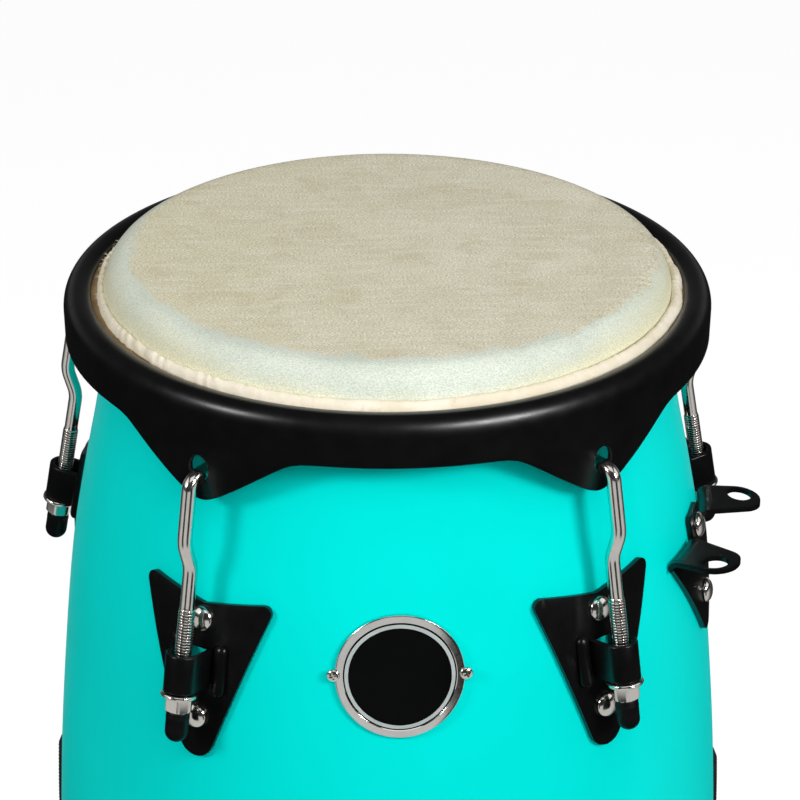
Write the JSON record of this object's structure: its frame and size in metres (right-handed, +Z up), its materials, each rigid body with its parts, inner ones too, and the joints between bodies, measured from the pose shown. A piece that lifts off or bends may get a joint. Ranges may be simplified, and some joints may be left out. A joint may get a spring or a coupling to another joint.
{
  "type": "conga drum",
  "caption": "Tall belly-sided hand drum: lacquered wooden shell, rawhide head under a rolled steel rim, threaded tuning hooks on side plates, and a folded bracket for a stand.",
  "frame": {"origin": "on the floor under the middle of the whole box, the drum standing upright on its rubber foot", "axes": "+Z up along the drum, the badge faces -Y, the stand bracket is towards +X"},
  "size_m": [0.3642, 0.3601, 0.7137],
  "materials": {
    "lacquer": "smooth turquoise lacquer over wood, semi-gloss",
    "rubber": "matt black rubber",
    "rawhide": "natural rawhide, mottled, dry",
    "plain_steel": "plain zinc-grey steel",
    "black_metal": "gloss black powder coat",
    "nickel": "bright nickel plate",
    "badge_metal": "satin metal ring with a black centre"
  },
  "bodies": {
    "shell_body": {"shell": "lacquer", "base_ring": "rubber", "drum_head": "rawhide", "lug_sleeve_1": "black_metal", "side_plate_1": "black_metal", "backing_plate_1": "plain_steel", "plate_bolt_upper_1": "nickel", "plate_bolt_lower_1": "nickel", "lug_sleeve_2": "black_metal", "side_plate_2": "black_metal", "backing_plate_2": "plain_steel", "plate_bolt_upper_2": "nickel", "plate_bolt_lower_2": "nickel", "lug_sleeve_3": "black_metal", "side_plate_3": "black_metal", "backing_plate_3": "plain_steel", "plate_bolt_upper_3": "nickel", "plate_bolt_lower_3": "nickel", "lug_sleeve_4": "black_metal", "side_plate_4": "black_metal", "backing_plate_4": "plain_steel", "plate_bolt_upper_4": "nickel", "plate_bolt_lower_4": "nickel", "lug_sleeve_5": "black_metal", "side_plate_5": "black_metal", "backing_plate_5": "plain_steel", "plate_bolt_upper_5": "nickel", "plate_bolt_lower_5": "nickel", "badge": "badge_metal", "badge_screw_left": "nickel", "badge_screw_right": "nickel", "stand_bracket": "black_metal", "bracket_backing_plate": "plain_steel", "bracket_bolt_upper": "nickel", "bracket_bolt_lower": "nickel", "bumper_left": "rubber", "bumper_right": "rubber"},
    "rim_body": {"rim": "black_metal", "flesh_hoop": "plain_steel"},
    "hook_1": {"tuning_hook_1": "nickel", "hook_cap_1": "rubber"},
    "nut_1": {"tuning_nut_1": "nickel"},
    "hook_2": {"tuning_hook_2": "nickel", "hook_cap_2": "rubber"},
    "nut_2": {"tuning_nut_2": "nickel"},
    "hook_3": {"tuning_hook_3": "nickel", "hook_cap_3": "rubber"},
    "nut_3": {"tuning_nut_3": "nickel"},
    "hook_4": {"tuning_hook_4": "nickel", "hook_cap_4": "rubber"},
    "nut_4": {"tuning_nut_4": "nickel"},
    "hook_5": {"tuning_hook_5": "nickel", "hook_cap_5": "rubber"},
    "nut_5": {"tuning_nut_5": "nickel"}
  },
  "joints": [
    {"name": "rim_travel", "type": "slide", "parent": "shell_body", "child": "rim_body", "axis": [0, 0, 1], "range_m": [-0.008, 0], "deforming": ["drum_head"]},
    {"name": "hook_1_slide", "type": "slide", "parent": "shell_body", "child": "hook_1", "axis": [0.1081, 0.1488, 0.9829], "range_m": [-0.00815, 0]},
    {"name": "nut_1_turn", "type": "hinge", "parent": "shell_body", "child": "nut_1", "pos_m": [-0.1083, -0.14998, 0.5546], "axis": [0.1081, 0.1488, 0.9829], "range_deg": [0, 2090]},
    {"name": "hook_2_slide", "type": "slide", "parent": "shell_body", "child": "hook_2", "axis": [-0.1081, 0.1488, 0.9829], "range_m": [-0.00815, 0]},
    {"name": "nut_2_turn", "type": "hinge", "parent": "shell_body", "child": "nut_2", "pos_m": [0.0999, -0.14998, 0.5546], "axis": [-0.1081, 0.1488, 0.9829], "range_deg": [0, 2090]},
    {"name": "hook_3_slide", "type": "slide", "parent": "shell_body", "child": "hook_3", "axis": [-0.1749, -0.0568, 0.9829], "range_m": [-0.00815, 0]},
    {"name": "nut_3_turn", "type": "hinge", "parent": "shell_body", "child": "nut_3", "pos_m": [0.16423, 0.04803, 0.5546], "axis": [-0.1749, -0.0568, 0.9829], "range_deg": [0, 2090]},
    {"name": "hook_4_slide", "type": "slide", "parent": "shell_body", "child": "hook_4", "axis": [0, -0.184, 0.9829], "range_m": [-0.00815, 0]},
    {"name": "nut_4_turn", "type": "hinge", "parent": "shell_body", "child": "nut_4", "pos_m": [-0.0042, 0.1704, 0.5546], "axis": [0, -0.184, 0.9829], "range_deg": [0, 2090]},
    {"name": "hook_5_slide", "type": "slide", "parent": "shell_body", "child": "hook_5", "axis": [0.1749, -0.0568, 0.9829], "range_m": [-0.00815, 0]},
    {"name": "nut_5_turn", "type": "hinge", "parent": "shell_body", "child": "nut_5", "pos_m": [-0.17263, 0.04803, 0.5546], "axis": [0.1749, -0.0568, 0.9829], "range_deg": [0, 2090]}
  ],
  "couplings": [
    {"joint": "hook_1_slide", "follows": "rim_travel", "ratio": 1.0174},
    {"joint": "nut_1_turn", "follows": "rim_travel", "rad_per_m": -4530.3},
    {"joint": "hook_2_slide", "follows": "rim_travel", "ratio": 1.0174},
    {"joint": "nut_2_turn", "follows": "rim_travel", "rad_per_m": -4530.3},
    {"joint": "hook_3_slide", "follows": "rim_travel", "ratio": 1.0174},
    {"joint": "nut_3_turn", "follows": "rim_travel", "rad_per_m": -4530.3},
    {"joint": "hook_4_slide", "follows": "rim_travel", "ratio": 1.0174},
    {"joint": "nut_4_turn", "follows": "rim_travel", "rad_per_m": -4530.3},
    {"joint": "hook_5_slide", "follows": "rim_travel", "ratio": 1.0174},
    {"joint": "nut_5_turn", "follows": "rim_travel", "rad_per_m": -4530.3}
  ]
}
